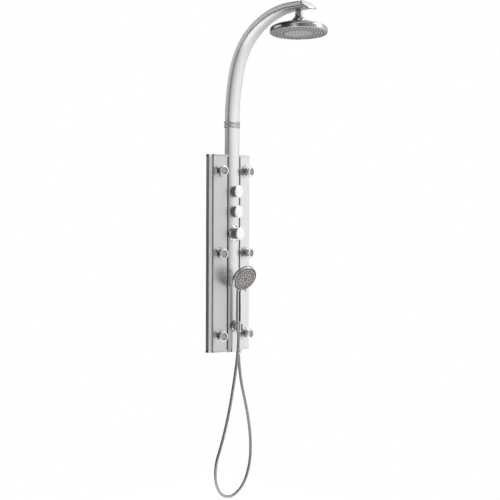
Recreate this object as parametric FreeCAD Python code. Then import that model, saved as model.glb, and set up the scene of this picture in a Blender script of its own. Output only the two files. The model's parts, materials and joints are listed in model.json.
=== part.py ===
import FreeCAD, Part
import math
import os

# Wall-mounted shower column: a swept aluminium panel with a raised centre column that
# carries on upwards as an arch to a rain head. Millimetres, +Z up, +X to the right, and +Y
# into the wall. The origin is the middle of the four wall screws, on the wall's plane.

from FreeCAD import Vector

os.makedirs("parts", exist_ok=True)

# ---------------------------------------------------------------- driving dimensions
PANEL_HALF_WIDTH = 105.0
PANEL_FLARE = 3.0              # extra half width where the sides meet the wall
PANEL_HALF_HEIGHT = 363.5
CAP_THICKNESS = 7.0
WALL_GAP = 2.0
SHEET = 2.2
PLATE = 1.5

COLUMN_HALF_WIDTH = 29.5
COLUMN_CREST = 7.5             # front bulge, in front of the groove plane
COLUMN_BACK = 19.5             # flat back, behind the groove plane
COLUMN_CORNER = 4.0
COLUMN_WALL = 2.5
GROOVE_Y = -36.0               # plane of the side grooves that hold the wings
GROOVE_WIDTH = 3.8
GROOVE_DEPTH = 4.5
GROOVE_LIP_R = 3.5             # rounding of the groove's rear lip
COLUMN_TOP = 462.0

COLLAR_HEIGHT = 11.0
COLLAR_GAP = 2.0
COLLAR_PROUD = 2.5
ARCH_START = COLUMN_TOP + 2 * COLLAR_HEIGHT + COLLAR_GAP
ARCH_BENDS = [(750.0, 14.0), (246.0, 38.0), (307.0, 37.0)]     # radius, turn in degrees
ARM_CUT_Y = -391.0             # middle of the slanted cut at the arm's tip
ARM_CUT_SLOPE = 40.0           # degrees from level
ARM_CAP_CORNER = 10.0
ARM_RUN = 140.0                # straight end of the arch, before the slanted cut

SCREW_SPACING_X = 120.0
SCREW_SPACING_Z = 520.0
SCREW_HOLE_R = 2.75
BRACKET_THICKNESS = 2.0
HOOK_X = 30.0                  # the chassis hangs on hooks at these places
HOOK_RISE = 18.0               # top of the hook's seat above the screws' middle
HOOK_SLOT = 14.0               # height of the slot that drops over each hook
FLANGE_HALF_WIDTH = 98.0       # end flanges, which the caps are screwed to
FLANGE_FRONT_Y = -15.6
CAP_SCREW_X = 78.0
CAP_SCREW_Y = -12.0

RAIN_KNOB_Z = 228.0
JET_KNOB_Z = 154.0
MIXER_KNOB_Z = 73.0
KNOB_R = 20.0
KNOB_FACE_Y = -67.5
MIXER_FACE_Y = -75.0
KNOB_CAP_R = 22.8
KNOB_CAP_HEIGHT = 4.0
MIXER_RING_R = 29.0
SPINDLE_R = 5.0
SPINDLE_GAP = 0.05

MIXER_BODY_R = 17.0
MIXER_ARM_R = 8.5
MIXER_ARM_Y = -21.0
VALVE_BODY_R = 15.0
VALVE_FRONT_Y = -39.0
VALVE_BORE = 14.0              # depth of the spindle's bore
SPINDLE_DEPTH = 12.0

JET_X = 66.0
JET_ROWS = {"upper": 303.0, "middle": 0.0, "lower": -303.0}
JET_BALL_R = 9.5
JET_FLANGE_R = 23.5
JET_SEAT = 0.9
JET_BARREL_R = 13.0
JET_BARREL_LENGTH = 15.0

HEAD_Y = -351.0
HEAD_BALL_Z = 848.0
HEAD_BALL_R = 8.0
HEAD_R = 101.5
HEAD_RIM_TOP_Z = 797.5
HEAD_RIM_BOTTOM_Z = 778.0
HEAD_TILT = 5.0
HEAD_SEAT = 1.0
HEAD_NUT_BELOW = 7.0
NIPPLE_R = 8.0
NIPPLE_HEAD_R = 9.5

HOLDER_Z = -270.0
HOLDER_BOLT_R = 5.0
HOLDER_BASE_R = 21.5
CONE_TOP_Z = -250.0
CONE_BOTTOM_Z = -291.7
CRADLE_HIGH_Z = -260.0
CRADLE_LOW_Z = -282.0
HANDLE_Y = -66.0
HANDLE_R = 11.5
HANDSET_R = 50.0
HANDSET_CENTRE = Vector(0, -104.6, -92.8)     # middle of the spray face, before the turn
HANDSET_FACE_DOWN = 29.0       # degrees that the face looks below level
HANDSET_TURN = 9.0             # degrees that the handset hangs turned to the left
NECK_R = 10.6
NECK_FOOT_Z = -141.0           # the handle bends forward here, into the back of the dish
NECK_HEAD = Vector(0, -80, -108)
TAB_TURN = 20.0                # degrees that the selector tab sits round to the right

HOSE_R = 5.5
OUTLET_X = 49.0
OUTLET_Y = -19.0
OUTLET_NUT_BOTTOM_Z = -380.6

INLET_X = 48.0
INLET_END_Y = -0.5
INLET_R = 10.48                # G1/2 male thread
INLET_BORE_R = 7.0
INLET_BLOCK_R = 13.0           # elbow behind the thread, which the nut stops against
INLET_BLOCK_BACK_Y = -12.0
INLET_WINDOW = 19.0            # half width of the chassis window around each inlet

RISER_R = 6.0
PIPE_Y = -32.5
FEED_PIPE_R = 5.0
FEED_Y = -28.0
OUTLET_R = 8.0
OUTLET_FEED_Z = -343.0
JET_PIPE_X = 86.0
JET_PIPE_Y = -17.5
JET_PIPE_R = 4.0
JET_LINK_Y = -11.5
JET_LINK_R = 3.5

X_AXIS = Vector(1, 0, 0)
Y_AXIS = Vector(0, 1, 0)
Z_AXIS = Vector(0, 0, 1)
FORWARD = Vector(0, -1, 0)
TILT_AXIS = Vector(-0.688, 0.725, 0)
BALL_GAP = 0.3                 # running gap between each ball, seat and socket
HEAD_CENTRE = Vector(0, HEAD_Y, HEAD_BALL_Z)
HEAD_CAVITY_R = HEAD_BALL_R + 2 * BALL_GAP + HEAD_SEAT

CREST_Y = GROOVE_Y - COLUMN_CREST
COLUMN_BACK_Y = GROOVE_Y + COLUMN_BACK
CHASSIS_BACK_Y = -WALL_GAP - 2.0
CHASSIS_FRONT_Y = CHASSIS_BACK_Y - PLATE
WING_TOP_Z = PANEL_HALF_HEIGHT - CAP_THICKNESS


# ---------------------------------------------------------------- shape helpers
def cylinder(radius, start, direction, length):
    return Part.makeCylinder(radius, length, start, direction)


def box(x_range, y_range, z_range):
    size = [high - low for low, high in (x_range, y_range, z_range)]
    return Part.makeBox(*size, Vector(x_range[0], y_range[0], z_range[0]))


def prism(points, z_low, z_high):
    """Upright prism over a closed outline of (x, y) points."""
    corners = [Vector(x, y, z_low) for x, y in points]
    face = Part.Face(Part.makePolygon(corners + corners[:1]))
    return face.extrude(Vector(0, 0, z_high - z_low))


def turned(outline, base, axis):
    """Solid of revolution of a closed outline of (radius, height) points."""
    corners = [Vector(radius, 0, height) for radius, height in outline]
    face = Part.Face(Part.makePolygon(corners + corners[:1]))
    solid = face.revolve(Vector(0, 0, 0), Z_AXIS, 360)
    solid.Placement = FreeCAD.Placement(base, FreeCAD.Rotation(Z_AXIS, axis))
    return solid


def joined(pieces):
    shape = pieces[0]
    for piece in pieces[1:]:
        shape = shape.fuse(piece)
    return shape.removeSplitter()


def spherical_zone(inner_r, outer_r, low, high, centre, axis):
    """Part of a hollow ball between two heights along its axis."""
    shell = Part.makeSphere(outer_r).cut(Part.makeSphere(inner_r))
    band = Part.makeCylinder(outer_r + 1, high - low, Vector(0, 0, low))
    zone = shell.common(band)
    zone.Placement = FreeCAD.Placement(centre, FreeCAD.Rotation(Z_AXIS, axis))
    return zone


def mirrored(shape):
    return shape.mirror(Vector(0, 0, 0), X_AXIS)


def sheet_outline(points, thickness):
    """Closed outline of a bent sheet: its outer points, then the mitred inner ones."""
    normals = []
    for (x0, y0), (x1, y1) in zip(points, points[1:]):
        length = math.hypot(x1 - x0, y1 - y0)
        normals.append(((y1 - y0) / length, -(x1 - x0) / length))
    inner = []
    for index, (x, y) in enumerate(points):
        before = normals[max(index - 1, 0)]
        after = normals[min(index, len(normals) - 1)]
        spread = 1 + before[0] * after[0] + before[1] * after[1]
        shift_x = (before[0] + after[0]) / spread * thickness
        shift_y = (before[1] + after[1]) / spread * thickness
        inner.append((x + shift_x, y + shift_y))
    return points + inner[::-1]


def export(name, *solids):
    shape = solids[0] if len(solids) == 1 else Part.makeCompound(list(solids))
    shape.exportStep("parts/" + name + ".step")


# ---------------------------------------------------------------- column and arch profile
def smooth_outline(grow=0.0, side_wall=0.0, corner=COLUMN_CORNER):
    """Column outline without grooves, about the groove plane, grown or thinned."""
    half = COLUMN_HALF_WIDTH + grow - side_wall
    crest = COLUMN_CREST + grow
    back = COLUMN_BACK + grow
    bulge = Part.ArcOfEllipse(Part.Ellipse(Vector(0, 0, 0), half, crest), math.pi, 2 * math.pi)
    return Part.Wire([bulge.toShape()] + back_edges(half, 0.0, back, corner + grow))


def back_edges(half, start_y, back, corner):
    """Right side, rounded back corners and left side, from one end of the bulge to the other."""
    slant = corner * (1 - math.sqrt(0.5))
    right = [Vector(half, start_y, 0), Vector(half, back - corner, 0)]
    right_mid = Vector(half - slant, back - slant, 0)
    right_end = Vector(half - corner, back, 0)
    left_end = Vector(-right_end.x, right_end.y, 0)
    left_mid = Vector(-right_mid.x, right_mid.y, 0)
    left = [Vector(-half, back - corner, 0), Vector(-half, start_y, 0)]
    return [
        Part.makeLine(*right),
        Part.Arc(right[1], right_mid, right_end).toShape(),
        Part.makeLine(right_end, left_end),
        Part.Arc(left_end, left_mid, left[0]).toShape(),
        Part.makeLine(*left),
    ]


def grooved_outline():
    """Outer outline of the extrusion, with a groove in each side for the wings."""
    half = COLUMN_HALF_WIDTH
    lip = GROOVE_WIDTH / 2
    start = math.asin(lip / COLUMN_CREST)
    ellipse = Part.Ellipse(Vector(0, 0, 0), half, COLUMN_CREST)
    bulge = Part.ArcOfEllipse(ellipse, math.pi + start, 2 * math.pi - start)
    edges = [bulge.toShape()]
    front_x = half * math.cos(start)
    floor_x = half - GROOVE_DEPTH
    round_x = half - GROOVE_LIP_R
    slant = GROOVE_LIP_R * math.sqrt(0.5)
    groove = [
        Vector(front_x, -lip, 0),
        Vector(floor_x, -lip, 0),
        Vector(floor_x, lip, 0),
        Vector(round_x, lip, 0),
    ]
    round_middle = Vector(round_x + slant, lip + GROOVE_LIP_R - slant, 0)
    round_end = Vector(half, lip + GROOVE_LIP_R, 0)
    edges += [Part.makeLine(a, b) for a, b in zip(groove, groove[1:])]
    edges.append(Part.Arc(groove[-1], round_middle, round_end).toShape())
    edges += back_edges(half, round_end.y, COLUMN_BACK, COLUMN_CORNER)
    other = [Vector(-p.x, p.y, 0) for p in reversed(groove)]
    left_middle = Vector(-round_middle.x, round_middle.y, 0)
    left_end = Vector(-round_end.x, round_end.y, 0)
    edges.append(Part.Arc(left_end, left_middle, other[0]).toShape())
    edges += [Part.makeLine(a, b) for a, b in zip(other, other[1:])]
    return Part.Wire(edges)


def hollow_outline(clearance=0.0):
    """Inside of the extrusion, whose sides are thick enough to hold the grooves."""
    side_wall = GROOVE_DEPTH + 1.5 - COLUMN_WALL
    return smooth_outline(-COLUMN_WALL - clearance, side_wall)


def placed(wire, z):
    moved = wire.copy()
    moved.translate(Vector(0, GROOVE_Y, z))
    return moved


def outline_prism(wire, z_low, z_high):
    return Part.Face(placed(wire, z_low)).extrude(Vector(0, 0, z_high - z_low))


def extrusion_face(z):
    """Cross-section of the hollow, grooved extrusion at a height."""
    outside = Part.Face(placed(grooved_outline(), z))
    return outside.cut(Part.Face(placed(hollow_outline(), z))).Faces[0]


def swept_through_arch(face, length):
    """Carries a level face at the arch's foot round its bends and along its straight tip."""
    y = GROOVE_Y
    z = ARCH_START
    lean = 0.0
    pieces = []
    for radius, turn in ARCH_BENDS:
        angle = math.radians(lean)
        centre = Vector(0, y - radius * math.cos(angle), z - radius * math.sin(angle))
        pieces.append(face.revolve(centre, X_AXIS, turn))
        face = face.copy()
        face.rotate(centre, X_AXIS, turn)
        lean += turn
        angle = math.radians(lean)
        y = centre.y + radius * math.cos(angle)
        z = centre.z + radius * math.sin(angle)
    along = Vector(0, -math.sin(math.radians(lean)), math.cos(math.radians(lean)))
    pieces.append(face.extrude(along * length))
    return joined(pieces), Vector(0, y, z)


# ---------------------------------------------------------------- panel
WING_POINTS = [
    (PANEL_HALF_WIDTH + PANEL_FLARE, -WALL_GAP),
    (PANEL_HALF_WIDTH, -14.0),
    (99.0, -22.5),
    (99.0, -18.0),
    (94.0, -18.0),
    (94.0, -27.0),
    (35.0, -38.0),
    (33.5, GROOVE_Y - 0.7),
    (COLUMN_HALF_WIDTH - GROOVE_DEPTH + 0.3, GROOVE_Y - 0.7),
]
WING_FRONT = WING_POINTS[5:7]  # the swept face between the channel and the column


def wing_front_y(x):
    """Front face of the right wing between its channel and the column."""
    (x0, y0), (x1, y1) = WING_FRONT
    return y0 + (y1 - y0) * (x - x0) / (x1 - x0)


def wing_normal(side):
    """Outward normal of the swept front of the wing on one side, -1 left or +1 right."""
    (x0, y0), (x1, y1) = WING_FRONT
    length = math.hypot(x1 - x0, y1 - y0)
    return Vector(-side * (y1 - y0) / length, (x1 - x0) / length, 0)


def jet_base(side, z):
    return Vector(side * JET_X, wing_front_y(JET_X), z)


def right_wing():
    sheet = prism(sheet_outline(WING_POINTS, SHEET), -WING_TOP_Z, WING_TOP_Z)
    for z in JET_ROWS.values():
        start = jet_base(1, z) - wing_normal(1) * 10
        sheet = sheet.cut(cylinder(JET_BARREL_R, start, wing_normal(1), 20))
    return sheet


def wing_cover_points():
    """Half outline of an end cap: the wing's outer face, slightly proud, and the column."""
    proud = 0.6
    edge = PANEL_HALF_WIDTH + proud
    return [
        (edge + PANEL_FLARE, -WALL_GAP),
        (edge, -14.0 - proud / 2),
        (99.0 + proud / 2, -22.5 - proud),
        (99.0, -16.0),
        (94.0, -16.0),
        (94.0, -27.0 - proud),
        (35.0, -38.0 - proud),
        (COLUMN_HALF_WIDTH - 2, GROOVE_Y - 0.7 - proud),
    ]


def end_cap(z_low, z_high):
    half = wing_cover_points()
    outline = half + [(-x, y) for x, y in reversed(half)]
    plate = prism(outline, z_low, z_high)
    for x in (-CAP_SCREW_X, CAP_SCREW_X):
        plate = plate.cut(cylinder(2.2, Vector(x, CAP_SCREW_Y, z_low), Z_AXIS, CAP_THICKNESS))
    return plate


def top_end_cap():
    plate = end_cap(WING_TOP_Z, PANEL_HALF_HEIGHT)
    passage = outline_prism(smooth_outline(0.1), WING_TOP_Z, PANEL_HALF_HEIGHT)
    return plate.cut(passage)


def bottom_end_cap():
    plate = end_cap(-PANEL_HALF_HEIGHT, -WING_TOP_Z)
    bulge = outline_prism(smooth_outline(0.6), -PANEL_HALF_HEIGHT - 2, -WING_TOP_Z)
    outlet_hole = cylinder(
        OUTLET_R, Vector(OUTLET_X, OUTLET_Y, -PANEL_HALF_HEIGHT), Z_AXIS, CAP_THICKNESS
    )
    return joined([plate, bulge]).cut(outlet_hole)


def cap_screws():
    """Pan-head screws that hold each end cap to the chassis flanges."""
    screw = [(0, -8), (1.6, -8), (1.6, 0), (3.6, 0), (3.2, 1.4), (1.8, 2.2), (0, 2.2)]
    screws = []
    for x in (-CAP_SCREW_X, CAP_SCREW_X):
        top = Vector(x, CAP_SCREW_Y, PANEL_HALF_HEIGHT)
        bottom = Vector(x, CAP_SCREW_Y, -PANEL_HALF_HEIGHT)
        screws.append(turned(screw, top, Z_AXIS))
        screws.append(turned(screw, bottom, -Z_AXIS))
    return screws


def rear_chassis():
    """Folded tray behind the wings: back plate, side flanges and end flanges."""
    inside = PANEL_HALF_WIDTH - SHEET - 0.3
    y_plate = (CHASSIS_FRONT_Y, CHASSIS_BACK_Y)
    y_flange = (-12.5, CHASSIS_BACK_Y)
    end_low = WING_TOP_Z - PLATE
    tray = [box((-inside, inside), y_plate, (-WING_TOP_Z, WING_TOP_Z))]
    for side in (-1, 1):
        x_range = sorted((side * (inside - PLATE), side * inside))
        tray.append(box(x_range, y_flange, (-WING_TOP_Z, WING_TOP_Z)))
        z_range = sorted((side * end_low, side * WING_TOP_Z))
        x_range = (-FLANGE_HALF_WIDTH, FLANGE_HALF_WIDTH)
        tray.append(box(x_range, (FLANGE_FRONT_Y, CHASSIS_BACK_Y), z_range))
    tray = joined(tray)
    holes = []
    for side in (-1, 1):
        window_x = (side * INLET_X - INLET_WINDOW, side * INLET_X + INLET_WINDOW)
        window_z = (MIXER_KNOB_Z - INLET_WINDOW, MIXER_KNOB_Z + INLET_WINDOW)
        holes.append(box(window_x, (-6.0, 0.0), window_z))
        for x in (-CAP_SCREW_X, CAP_SCREW_X):
            start = Vector(x, CAP_SCREW_Y, side * WING_TOP_Z - 3)
            holes.append(cylinder(1.6, start, Z_AXIS, 6))
        slot_top = side * SCREW_SPACING_Z / 2 + HOOK_RISE
        slot_z = (slot_top - HOOK_SLOT, slot_top)
        for x in (-HOOK_X, HOOK_X):
            holes.append(box((x - 9, x + 9), (-6.0, 0.0), slot_z))
    outlet = Vector(OUTLET_X, OUTLET_Y, -WING_TOP_Z - 1)
    holes.append(cylinder(OUTLET_R, outlet, Z_AXIS, 4))
    return tray.cut(holes)


def wall_brackets():
    """Two screwed plates whose upturned hooks carry the chassis."""
    brackets = []
    for middle in (-SCREW_SPACING_Z / 2, SCREW_SPACING_Z / 2):
        tab = middle + HOOK_RISE
        plate = box((-80, 80), (-BRACKET_THICKNESS, 0), (middle - 20, middle + 20))
        pieces = [plate]
        for x in (-HOOK_X, HOOK_X):
            pieces.append(box((x - 8, x + 8), (-7.5, -1.0), (tab - 2, tab)))
            pieces.append(box((x - 8, x + 8), (-7.5, -6.0), (tab - 2, tab + 10)))
        bracket = joined(pieces)
        for x in (-SCREW_SPACING_X / 2, SCREW_SPACING_X / 2):
            bracket = bracket.cut(cylinder(SCREW_HOLE_R, Vector(x, -3, middle), Y_AXIS, 4))
        brackets.append(bracket)
    return brackets


# ---------------------------------------------------------------- column, collars and arch
def column():
    low = -WING_TOP_Z
    shape = extrusion_face(low).extrude(Vector(0, 0, COLUMN_TOP - low))
    cuts = []
    for z in (RAIN_KNOB_Z, JET_KNOB_Z, MIXER_KNOB_Z):
        cuts.append(cylinder(8.0, Vector(0, CREST_Y - 2, z), Y_AXIS, 10))
        radius = MIXER_BODY_R if z == MIXER_KNOB_Z else VALVE_BODY_R
        cuts.append(cylinder(radius + 0.3, Vector(0, GROOVE_Y + 4, z), Y_AXIS, 20))
    arm_start = Vector(-INLET_X, MIXER_ARM_Y, MIXER_KNOB_Z)
    cuts.append(cylinder(MIXER_ARM_R + 0.3, arm_start, X_AXIS, 2 * INLET_X))
    cuts.append(cylinder(HOLDER_BOLT_R, Vector(0, CREST_Y - 2, HOLDER_Z), Y_AXIS, 10))
    feed_end = Vector(0, FEED_Y, OUTLET_FEED_Z)
    across = Vector(OUTLET_X, OUTLET_Y - FEED_Y, 0)
    cuts.append(cylinder(FEED_PIPE_R + 0.5, feed_end, across, 40))
    return shape.cut(cuts)


def collar(z_low):
    ring = outline_prism(smooth_outline(COLLAR_PROUD), z_low, z_low + COLLAR_HEIGHT)
    edges = [e for e in ring.Edges if abs(e.BoundBox.ZLength) < 0.01]
    ring = ring.makeFillet(2.0, edges)
    return ring.cut(outline_prism(hollow_outline(), z_low - 1, z_low + COLLAR_HEIGHT + 1))


def joint_sleeve():
    """Plug inside the joint, with a flange that fills the gap between the collars."""
    gap_low = COLUMN_TOP + COLLAR_HEIGHT
    plug = outline_prism(hollow_outline(0.3), COLUMN_TOP - 24, ARCH_START + 12)
    flange = outline_prism(smooth_outline(-1.0), gap_low, gap_low + COLLAR_GAP)
    bore = cylinder(RISER_R + 0.4, Vector(0, PIPE_Y, COLUMN_TOP - 30), Z_AXIS, 80)
    return joined([plug, flange]).cut(bore)


def arm_cutter(offset):
    """Half space beyond the slanted cut, moved outwards along its normal."""
    slope = math.radians(ARM_CUT_SLOPE)
    size = 400.0
    block = Part.makeBox(size, size, size, Vector(-size / 2, -size / 2, 0))
    block.rotate(Vector(0, 0, 0), X_AXIS, ARM_CUT_SLOPE)
    normal = Vector(0, -math.sin(slope), math.cos(slope))
    block.translate(Vector(0, ARM_CUT_Y, ARM_CENTRE_Z) + normal * offset)
    return block


ARCH_TIP = swept_through_arch(Part.Face(placed(smooth_outline(), ARCH_START)), ARM_RUN)[1]
ARM_CENTRE_Z = ARCH_TIP.z + (COLUMN_BACK - COLUMN_CREST) / 2
ARM_UNDERSIDE_Z = ARCH_TIP.z - COLUMN_CREST


def arch_arm():
    arm = swept_through_arch(extrusion_face(ARCH_START), ARM_RUN)[0]
    arm = arm.cut(arm_cutter(0.0))
    hole = cylinder(NIPPLE_R, Vector(0, HEAD_Y, ARM_UNDERSIDE_Z - 5), Z_AXIS, 15)
    return arm.cut(hole)


def arm_end_cap():
    """Polished oval plate over the slanted cut, a little proud of the arm all round."""
    bar = swept_through_arch(
        Part.Face(placed(smooth_outline(COLLAR_PROUD, corner=ARM_CAP_CORNER), ARCH_START)),
        ARM_RUN + 20,
    )[0]
    bar = bar.common(box((-60, 60), (-480, -345), (ARCH_TIP.z - 60, ARCH_TIP.z + 60)))
    plate = bar.cut(arm_cutter(5.0)).common(arm_cutter(0.0))
    return plate


# ---------------------------------------------------------------- valves and pipes
def housing(z, radius):
    length = CHASSIS_FRONT_Y - VALVE_FRONT_Y
    return cylinder(radius, Vector(0, VALVE_FRONT_Y, z), Y_AXIS, length)


def spindle_bore(z):
    front = Vector(0, VALVE_FRONT_Y, z)
    return cylinder(SPINDLE_R + SPINDLE_GAP, front, Y_AXIS, VALVE_BORE)


def valve_body(z):
    """Brass cartridge housing, bored for its spindle."""
    return housing(z, VALVE_BODY_R).cut(spindle_bore(z))


def mixer_valve_body():
    """T-shaped housing with an elbow and a threaded inlet stub at the end of each arm."""
    arm_start = Vector(-INLET_X, MIXER_ARM_Y, MIXER_KNOB_Z)
    body = housing(MIXER_KNOB_Z, MIXER_BODY_R)
    body = body.fuse(cylinder(MIXER_ARM_R, arm_start, X_AXIS, 2 * INLET_X))
    for side in (-1, 1):
        front = Vector(side * INLET_X, MIXER_ARM_Y - MIXER_ARM_R + 0.5, MIXER_KNOB_Z)
        block = cylinder(INLET_BLOCK_R, front, Y_AXIS, INLET_BLOCK_BACK_Y - front.y)
        stub = cylinder(INLET_R, front, Y_AXIS, INLET_END_Y - front.y)
        body = body.fuse(block).fuse(stub)
    body = body.removeSplitter()
    for side in (-1, 1):
        mouth = Vector(side * INLET_X, INLET_END_Y, MIXER_KNOB_Z)
        body = body.cut(cylinder(INLET_BORE_R, mouth, FORWARD, 12))
    return body.cut(spindle_bore(MIXER_KNOB_Z))


def valve_volumes():
    """Plain volumes of the three housings, to trim the pipes that meet them."""
    return [
        housing(RAIN_KNOB_Z, VALVE_BODY_R),
        housing(JET_KNOB_Z, VALVE_BODY_R),
        housing(MIXER_KNOB_Z, MIXER_BODY_R),
    ]


def link_pipes():
    """Short pipes that carry mixed water from housing to housing."""
    span = RAIN_KNOB_Z - MIXER_KNOB_Z
    pipe = cylinder(RISER_R, Vector(0, PIPE_Y, MIXER_KNOB_Z), Z_AXIS, span)
    return pipe.cut(valve_volumes()).Solids


def riser_rod(radius):
    """Solid rod along the riser's line, from the rain valve to the head's nipple."""
    foot = Vector(0, PIPE_Y, ARCH_START)
    disc = Part.Face(Part.Wire(Part.makeCircle(radius, foot, Z_AXIS)))
    bends = swept_through_arch(disc, ARCH_TIP.y - HEAD_Y)[0]
    straight = cylinder(radius, Vector(0, PIPE_Y, RAIN_KNOB_Z), Z_AXIS, ARCH_START - RAIN_KNOB_Z)
    return joined([bends, straight])


def riser_pipe():
    nipple = cylinder(NIPPLE_HEAD_R, Vector(0, HEAD_Y, ARCH_TIP.z - 3.8), Z_AXIS, 18)
    pipe = riser_rod(RISER_R).cut(riser_rod(RISER_R - 1.2))
    return pipe.cut([nipple, valve_volumes()[0]])


def jet_water_pipe():
    """Ladder of pipe that feeds all six body jets from the jet valve."""
    rail_z = JET_ROWS["lower"]
    rail_length = JET_ROWS["upper"] - rail_z
    link = Vector(-JET_PIPE_X, JET_LINK_Y, JET_KNOB_Z)
    pieces = [cylinder(JET_LINK_R, link, X_AXIS, 2 * JET_PIPE_X)]
    cuts = [valve_volumes()[1]]
    for side in (-1, 1):
        foot = Vector(side * JET_PIPE_X, JET_PIPE_Y, rail_z)
        pieces.append(cylinder(JET_PIPE_R, foot, Z_AXIS, rail_length))
        for z in JET_ROWS.values():
            branch = Vector(side * JET_PIPE_X, JET_PIPE_Y, z)
            pieces.append(cylinder(JET_PIPE_R - 0.5, branch, X_AXIS * -side, 7.5))
            back = jet_base(side, z) - wing_normal(side) * JET_BARREL_LENGTH
            cuts.append(cylinder(JET_BARREL_R, back, wing_normal(side), 25))
    return joined(pieces).cut(cuts).Solids


def handset_feed_pipe():
    """Pipe from the mixer down the column and out through its side to the hose outlet."""
    drop = MIXER_KNOB_Z - OUTLET_FEED_Z
    down = cylinder(FEED_PIPE_R, Vector(0, FEED_Y, OUTLET_FEED_Z), Z_AXIS, drop)
    elbow = Part.makeSphere(FEED_PIPE_R, Vector(0, FEED_Y, OUTLET_FEED_Z))
    across = Vector(OUTLET_X, OUTLET_Y - FEED_Y, 0)
    side = cylinder(FEED_PIPE_R, Vector(0, FEED_Y, OUTLET_FEED_Z), across, across.Length)
    pipe = joined([down, elbow, side])
    outlet = cylinder(OUTLET_R, Vector(OUTLET_X, OUTLET_Y, -380), Z_AXIS, 60)
    return pipe.cut(outlet).cut(valve_volumes()[2]).Solids


# ---------------------------------------------------------------- knobs
def knob_seat(z):
    """Spacer shaped to the column's bulge, which gives the knob a flat base."""
    front = CREST_Y - 0.3
    seat = cylinder(KNOB_R, Vector(0, front, z), Y_AXIS, GROOVE_Y - 1 - front)
    seat = seat.cut(outline_prism(smooth_outline(), z - 30, z + 30))
    return seat.cut(cylinder(8.0, Vector(0, CREST_Y - 2, z), Y_AXIS, 20))


def mixer_escutcheon():
    """Wider ring under the mixer knob, shaped to the column's bulge at the back."""
    back = GROOVE_Y - 1
    height = back - (CREST_Y - 4.3)
    rim = MIXER_RING_R
    outline = [(8, 0), (rim, 0), (rim, height - 2.5), (rim - 3.5, height), (8, height)]
    ring = turned(outline, Vector(0, back, MIXER_KNOB_Z), FORWARD)
    return ring.cut(outline_prism(smooth_outline(), MIXER_KNOB_Z - 30, MIXER_KNOB_Z + 30))


def knob_outline(length):
    """Skirt with a rounded front edge, a ring of grip flutes is cut afterwards."""
    return [
        (SPINDLE_R, 0.0),
        (KNOB_R - 1.2, 0.0),
        (KNOB_R - 0.4, 1.0),
        (KNOB_R - 0.2, length * 0.45),
        (KNOB_R, length - 3.0),
        (KNOB_R - 0.4, length - 1.0),
        (KNOB_R - 1.5, length),
        (SPINDLE_R, length),
    ]


def knob(base, length):
    body = turned(knob_outline(length), base, FORWARD)
    flutes = []
    count = 24
    for index in range(count):
        angle = 2 * math.pi * index / count
        radius = KNOB_R + 1.0
        start = base + Vector(radius * math.cos(angle), 0, radius * math.sin(angle))
        flutes.append(cylinder(1.9, start, FORWARD, length - 3.5))
    return body.cut(flutes)


def knob_cap(base, length):
    """Polished disc, slightly crowned and wider than the grip, on the front of a knob."""
    front = base + FORWARD * length
    outline = [
        (0, 0),
        (KNOB_CAP_R - 1.2, 0),
        (KNOB_CAP_R, 1.0),
        (KNOB_CAP_R, 2.2),
        (KNOB_CAP_R - 0.8, 3.0),
        (16.0, 3.5),
        (8.0, 3.9),
        (0, KNOB_CAP_HEIGHT),
    ]
    return turned(outline, front, FORWARD)


def spindle(base, length):
    start = Vector(0, VALVE_FRONT_Y + SPINDLE_DEPTH, base.z)
    return cylinder(SPINDLE_R, start, FORWARD, start.y - (base.y - length))


# ---------------------------------------------------------------- body jets
def jet_centre(side, z):
    """Centre of the ball of a jet, just in front of the wing."""
    return jet_base(side, z) + wing_normal(side)


def jet_socket(side, z):
    """Stepped flange and threaded barrel with a ball seat inside."""
    back = -JET_BARREL_LENGTH
    outline = [
        (0, back),
        (JET_BARREL_R, back),
        (JET_BARREL_R, 0),
        (JET_FLANGE_R, 0),
        (JET_FLANGE_R, 1.6),
        (JET_FLANGE_R - 1.0, 2.6),
        (19.6, 2.6),
        (19.6, 4.0),
        (18.8, 4.8),
        (15.4, 4.8),
        (14.6, 6.0),
        (0, 6.0),
    ]
    socket = turned(outline, jet_base(side, z), wing_normal(side))
    cavity_r = JET_BALL_R + 2 * BALL_GAP + JET_SEAT
    return socket.cut(Part.makeSphere(cavity_r, jet_centre(side, z)))


def jet_seat(side, z):
    """Thin plastic ring between ball and socket: it pans, and the ball tilts in it."""
    inner = JET_BALL_R + BALL_GAP
    return spherical_zone(
        inner, inner + JET_SEAT, -4.0, 3.5, jet_centre(side, z), wing_normal(side)
    )


def jet_nozzle(side, z):
    """Ball, neck and flared spray head with a shallow recessed face."""
    centre = jet_centre(side, z)
    normal = wing_normal(side)
    outline = [
        (0, 6.0),
        (6.4, 6.0),
        (6.4, 10.0),
        (11.0, 13.0),
        (15.5, 15.5),
        (17.8, 17.0),
        (18.5, 18.5),
        (18.5, 25.0),
        (17.6, 27.0),
        (16.0, 27.8),
        (14.2, 27.4),
        (13.2, 26.2),
        (13.0, 25.4),
        (0, 25.8),
    ]
    head = turned(outline, centre, normal)
    return joined([Part.makeSphere(JET_BALL_R, centre), head])


def jet_locknuts():
    nuts = []
    ring = [(JET_BARREL_R, -7.0), (16.5, -7.0), (16.5, -SHEET), (JET_BARREL_R, -SHEET)]
    for side in (-1, 1):
        for z in JET_ROWS.values():
            nuts.append(turned(ring, jet_base(side, z), wing_normal(side)))
    return nuts


# ---------------------------------------------------------------- rain head
def tilted(shape):
    shape.rotate(HEAD_CENTRE, TILT_AXIS, HEAD_TILT)
    return shape


def head_piece(outline):
    """Turned part of the rain head, with heights given in the column's own frame."""
    return turned([(r, z - HEAD_BALL_Z) for r, z in outline], HEAD_CENTRE, Z_AXIS)


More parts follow.
